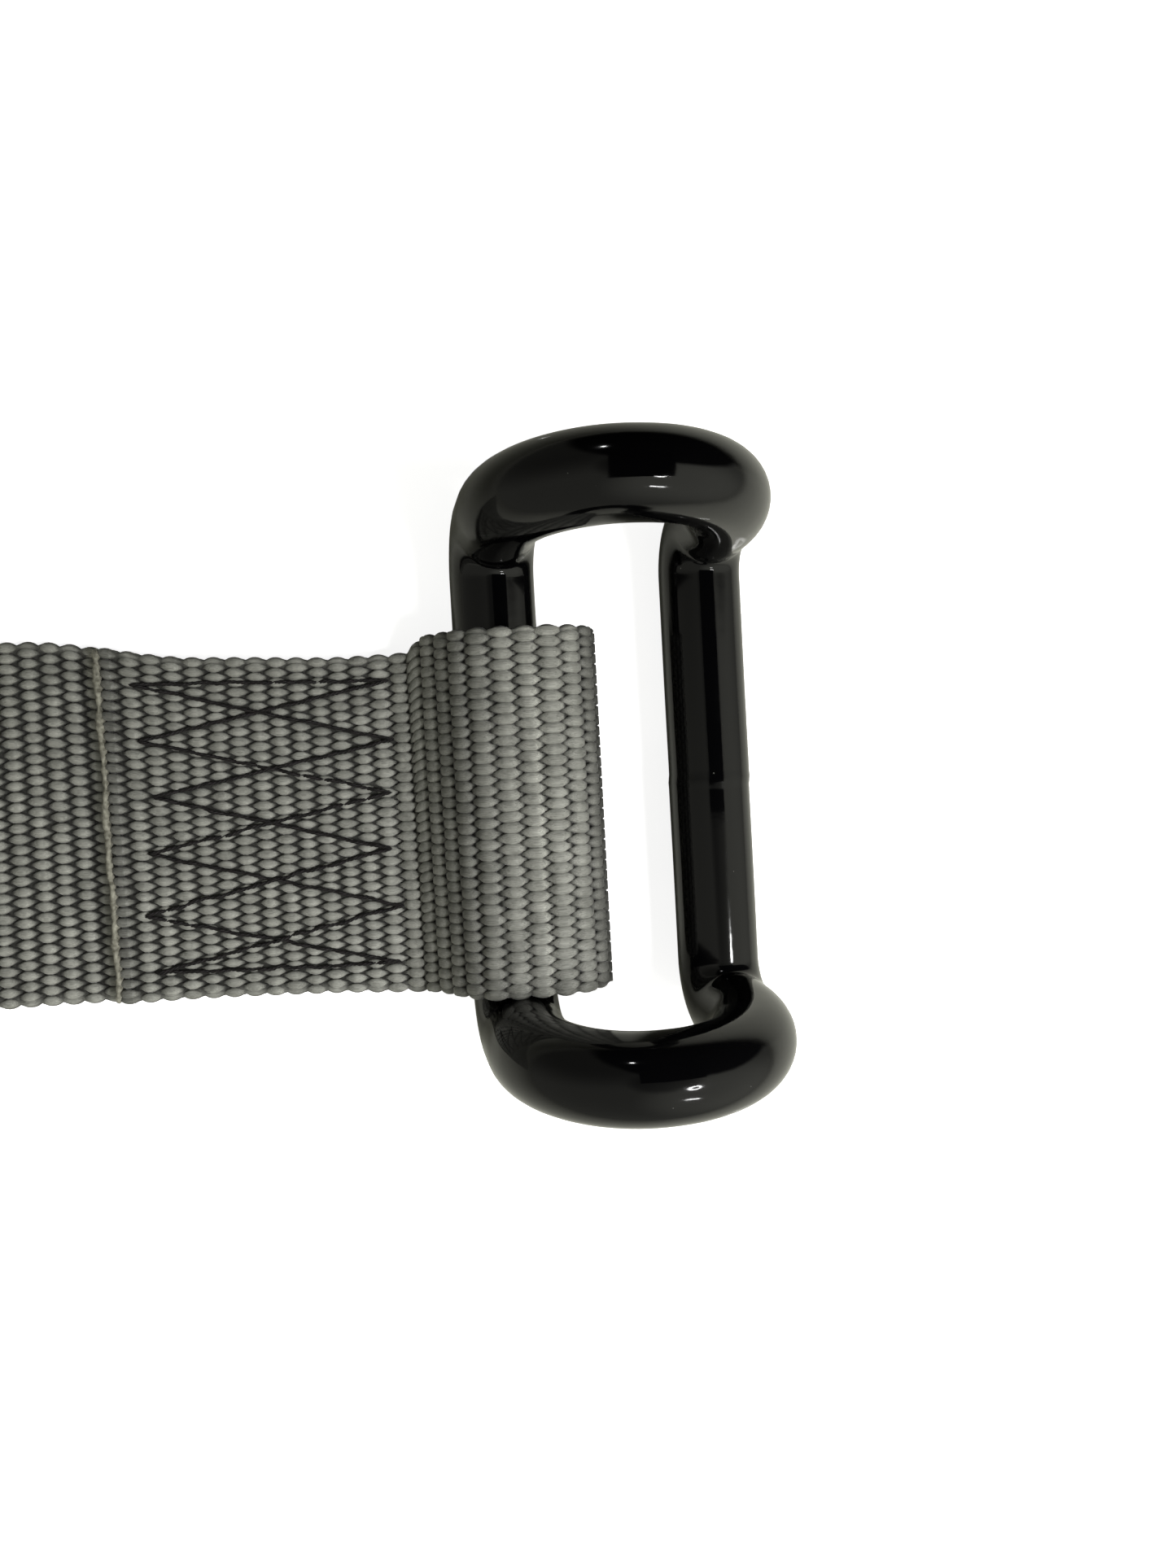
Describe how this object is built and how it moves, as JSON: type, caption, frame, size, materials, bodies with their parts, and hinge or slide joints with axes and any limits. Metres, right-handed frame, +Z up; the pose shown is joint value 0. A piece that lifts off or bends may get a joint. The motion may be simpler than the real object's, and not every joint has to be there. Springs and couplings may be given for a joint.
{
  "type": "tautliner strap end with closed hook",
  "caption": "Short tautliner strap end: flat woven webbing folded back and cross-stitched round one leg of a closed hook bent from round painted steel bar, free to swing in its loop.",
  "frame": {"origin": "on the strap's underside, below the axis of the hook leg that the loop holds, at mid width", "axes": "+X from the strap towards the hook's free leg, +Y across the webbing, +Z up from the floor that the strap lies on"},
  "size_m": [0.336, 0.0834, 0.0366],
  "materials": {
    "grey_webbing": "woven polyester, satin filaments",
    "black_thread": "bonded sewing thread, semi-matt",
    "black_paint": "high gloss black over steel bar"
  },
  "bodies": {
    "strap": {"webbing_strap": "grey_webbing", "seam_thread_top": "black_thread", "seam_thread_underside": "black_thread"},
    "hook": {"closed_hook": "black_paint"}
  },
  "joints": [
    {"name": "hook_swing", "type": "hinge", "parent": "strap", "child": "hook", "pos_m": [0, 0.003, 0.0082], "axis": [0, -1, 0], "range_deg": [-146, 178]}
  ]
}
